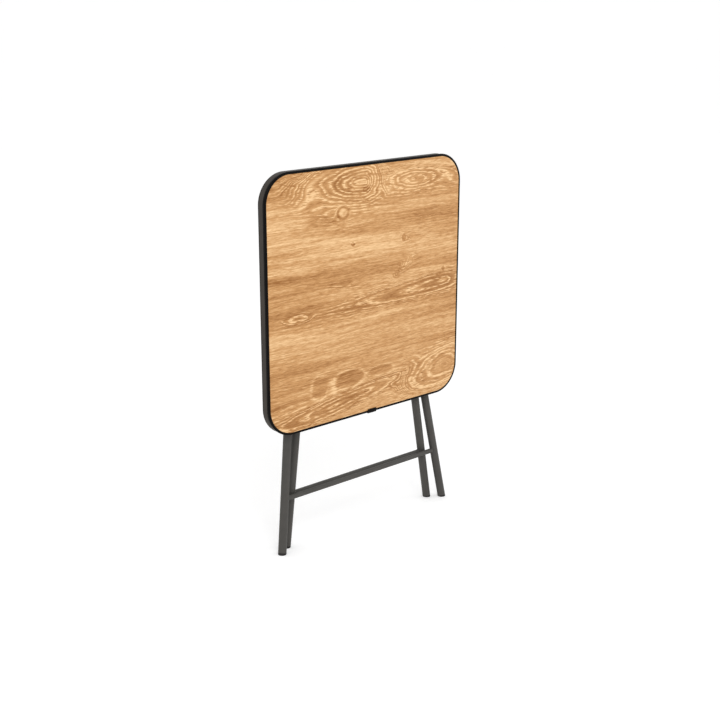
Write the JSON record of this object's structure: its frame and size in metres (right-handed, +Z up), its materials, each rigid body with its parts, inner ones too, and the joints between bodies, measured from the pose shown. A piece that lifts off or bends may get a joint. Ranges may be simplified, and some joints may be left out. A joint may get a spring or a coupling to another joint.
{
  "type": "folding table",
  "caption": "Folding side table with a square rounded top in a tray rim on crossed splayed tube legs, shown folded flat and standing.",
  "frame": {"origin": "on the floor, under the middle of the folded table", "axes": "+X along the table width to the right, +Y away from the side that shows the top face, +Z up"},
  "size_m": [0.6, 0.0892, 0.891],
  "materials": {
    "oak_laminate": "satin printed oak laminate",
    "powder_coat": "satin anthracite powder coat",
    "rim_coat": "satin dark brown-grey coat",
    "black_plastic": "matt moulded",
    "zinc": "bright zinc plate"
  },
  "bodies": {
    "outer_frame": {"outer_leg_left": "powder_coat", "outer_leg_right": "powder_coat", "outer_foot_left": "black_plastic", "outer_foot_right": "black_plastic", "outer_top_plug_left": "black_plastic", "outer_top_plug_right": "black_plastic", "outer_stretcher": "powder_coat", "hinge_bolt_left": "zinc", "hinge_bolt_right": "zinc", "hinge_spacer_left": "zinc", "hinge_spacer_right": "zinc", "hinge_nut_left": "zinc", "hinge_nut_right": "zinc", "pivot_bolt_left": "zinc", "pivot_bolt_right": "zinc", "pivot_spacer_left": "zinc", "pivot_spacer_right": "zinc", "pivot_nut_left": "zinc", "pivot_nut_right": "zinc"},
    "inner_frame": {"inner_leg_left": "powder_coat", "inner_leg_right": "powder_coat", "inner_foot_left": "black_plastic", "inner_foot_right": "black_plastic", "inner_top_plug_left": "black_plastic", "inner_top_plug_right": "black_plastic", "inner_stretcher": "powder_coat", "catch_bar": "powder_coat"},
    "catch_sleeves": {"catch_sleeve_left": "black_plastic", "catch_sleeve_right": "black_plastic"},
    "hinge_bushes": {"hinge_bush_left": "black_plastic", "hinge_bush_right": "black_plastic"},
    "table_top": {"top_panel": "oak_laminate", "rim_band": "rim_coat", "rim_joint_clip": "rim_coat", "rear_rail": "powder_coat", "front_rail": "powder_coat", "hinge_bracket_left": "powder_coat", "hinge_bracket_right": "powder_coat", "catch_bracket_left": "black_plastic", "catch_bracket_right": "black_plastic", "rear_rail_screw_left": "zinc", "rear_rail_screw_right": "zinc", "front_rail_screw_left": "zinc", "front_rail_screw_right": "zinc", "hinge_screw_left_inner": "zinc", "hinge_screw_left_outer": "zinc", "hinge_screw_right_inner": "zinc", "hinge_screw_right_outer": "zinc", "catch_screw_left_inner": "zinc", "catch_screw_left_outer": "zinc", "catch_screw_right_inner": "zinc", "catch_screw_right_outer": "zinc"}
  },
  "joints": [
    {"name": "leg_fold", "type": "hinge", "parent": "outer_frame", "child": "inner_frame", "pos_m": [0, -0.00142, 0.3506], "axis": [1, 0, 0], "range_deg": [0, 56.14]},
    {"name": "bar_turn", "type": "hinge", "parent": "inner_frame", "child": "catch_sleeves", "pos_m": [0, 0.00924, 0.74682], "axis": [-1, 0, 0], "range_deg": [0, 121.39]},
    {"name": "bar_slide", "type": "slide", "parent": "catch_sleeves", "child": "hinge_bushes", "axis": [0, 0, 1], "range_m": [0, 0.4114]},
    {"name": "top_tilt", "type": "hinge", "parent": "hinge_bushes", "child": "table_top", "pos_m": [0, 0.0334, 0.719], "axis": [-1, 0, 0], "range_deg": [0, 88]}
  ],
  "couplings": [
    {"joint": "bar_turn", "follows": "leg_fold", "ratio": 2.1613},
    {"joint": "bar_slide", "follows": "leg_fold", "m_per_rad": 0.41939}
  ]
}
